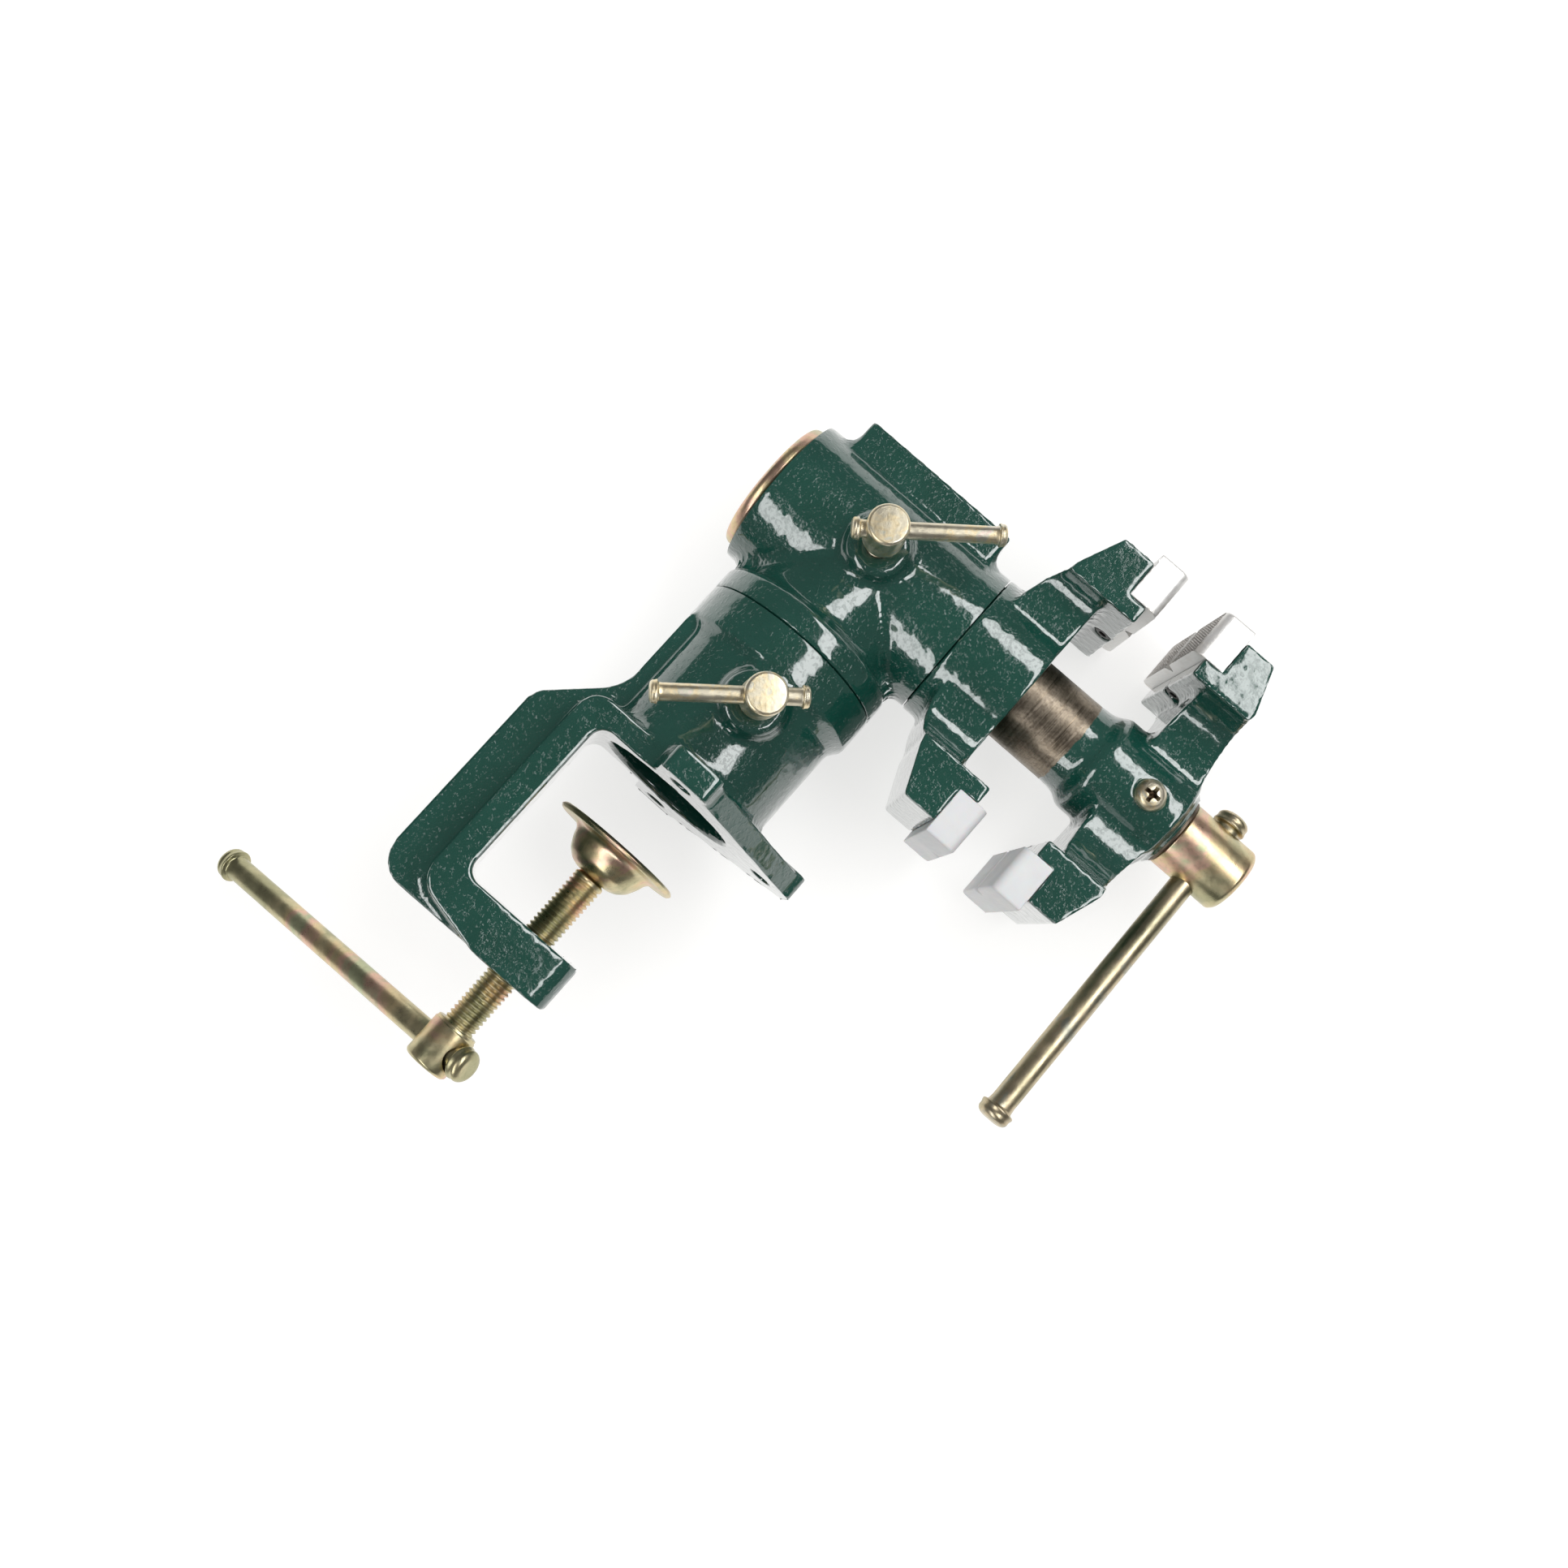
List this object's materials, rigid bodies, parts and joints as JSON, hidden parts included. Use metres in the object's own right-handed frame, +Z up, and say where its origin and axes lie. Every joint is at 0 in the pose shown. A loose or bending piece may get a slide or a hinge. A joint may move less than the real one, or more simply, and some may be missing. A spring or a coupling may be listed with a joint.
{
  "type": "bench vise",
  "caption": "Clamp-on bench vise with a swivelling elbow, a rolling two-sided jaw head with steel and nylon jaws, and a small anvil.",
  "frame": {"origin": "on the swivel axis, in the plane of the clamp seat (underside of the flange)", "axes": "+Z up along the swivel axis, +X from the clamp's spine towards the front lug; the barrel is stored swivelled 7 degrees from +X towards -Y, and the jaw head rolled 4 degrees"},
  "size_m": [0.231, 0.1146, 0.2508],
  "materials": {
    "green_paint": "gloss",
    "yellow_zinc": "yellow chromate zinc plate",
    "pale_zinc": "pale zinc plate",
    "jaw_steel": "machined",
    "white_nylon": "matte",
    "bronze": "machined",
    "black_steel": "black oxide",
    "dark_steel": "dark"
  },
  "bodies": {
    "base": {"base_casting": "green_paint"},
    "clamp_pad": {"clamp_pad": "yellow_zinc"},
    "clamp_screw": {"clamp_screw": "yellow_zinc"},
    "clamp_bar": {"clamp_bar": "yellow_zinc"},
    "base_lock": {"base_lock_screw": "pale_zinc"},
    "base_lock_bar": {"base_lock_bar": "pale_zinc"},
    "elbow": {"elbow_casting": "green_paint"},
    "barrel_lock": {"barrel_lock_screw": "pale_zinc"},
    "barrel_lock_bar": {"barrel_lock_bar": "pale_zinc"},
    "head": {"fixed_jaw": "green_paint", "rear_disc": "yellow_zinc", "rear_disc_screws": "yellow_zinc", "lead_nut": "bronze", "lead_nut_screw": "black_steel", "fixed_steel_plate": "jaw_steel", "fixed_soft_jaw": "white_nylon", "fixed_plate_screw": "black_steel", "fixed_soft_jaw_screw": "black_steel"},
    "moving_jaw": {"moving_jaw": "green_paint", "moving_steel_plate": "jaw_steel", "moving_soft_jaw": "white_nylon", "moving_plate_screw": "black_steel", "moving_soft_jaw_screw": "black_steel", "lead_screw_retainer": "pale_zinc", "thrust_washer": "dark_steel"},
    "lead_screw": {"lead_screw": "yellow_zinc"},
    "spindle_bar": {"spindle_bar": "yellow_zinc"}
  },
  "joints": [
    {"name": "clamp_feed", "type": "slide", "parent": "base", "child": "clamp_pad", "axis": [0, 0, 1], "range_m": [-0.02131, 0.01821]},
    {"name": "clamp_turn", "type": "hinge", "parent": "clamp_pad", "child": "clamp_screw", "pos_m": [0, 0, 0], "axis": [0, 0, 1], "range_deg": [-5112, 4368]},
    {"name": "clamp_bar_slide", "type": "slide", "parent": "clamp_screw", "child": "clamp_bar", "axis": [0.823, -0.5656, 0.0523], "range_m": [-0.0002, 0.0915]},
    {"name": "base_lock_turn", "type": "hinge", "parent": "base", "child": "base_lock", "pos_m": [0, 0, 0.032], "axis": [0, -1, 0], "range_deg": [-180, 15]},
    {"name": "base_lock_bar_slide", "type": "slide", "parent": "base_lock", "child": "base_lock_bar", "axis": [-0.7604, 0, -0.6494], "range_m": [-0.021, 0.0031]},
    {"name": "base_swivel", "type": "hinge", "parent": "base", "child": "elbow", "pos_m": [0, 0, 0], "axis": [0, 0, 1], "continuous": true},
    {"name": "barrel_lock_turn", "type": "hinge", "parent": "elbow", "child": "barrel_lock", "pos_m": [0, 0, 0.09], "axis": [-0.1219, -0.9925, 0], "range_deg": [-180, 180]},
    {"name": "barrel_lock_bar_slide", "type": "slide", "parent": "barrel_lock", "child": "barrel_lock_bar", "axis": [0.7681, -0.0943, 0.6334], "range_m": [-0.0238, 0.0003]},
    {"name": "head_roll", "type": "hinge", "parent": "elbow", "child": "head", "pos_m": [0, 0, 0.091], "axis": [0.9925, -0.1219, 0], "continuous": true},
    {"name": "jaw_feed", "type": "slide", "parent": "head", "child": "moving_jaw", "axis": [0.9925, -0.1219, 0], "range_m": [-0.01361, 0.03601]},
    {"name": "spindle_turn", "type": "hinge", "parent": "moving_jaw", "child": "lead_screw", "pos_m": [0, 0, 0.091], "axis": [0.9925, -0.1219, 0], "range_deg": [-1632, 4320]},
    {"name": "spindle_bar_slide", "type": "slide", "parent": "lead_screw", "child": "spindle_bar", "axis": [0, 0, 1], "range_m": [0, 0.0838]}
  ],
  "couplings": [
    {"joint": "clamp_feed", "follows": "clamp_turn", "m_per_rad": 0.00023873},
    {"joint": "jaw_feed", "follows": "spindle_turn", "m_per_rad": 0.00047746}
  ]
}
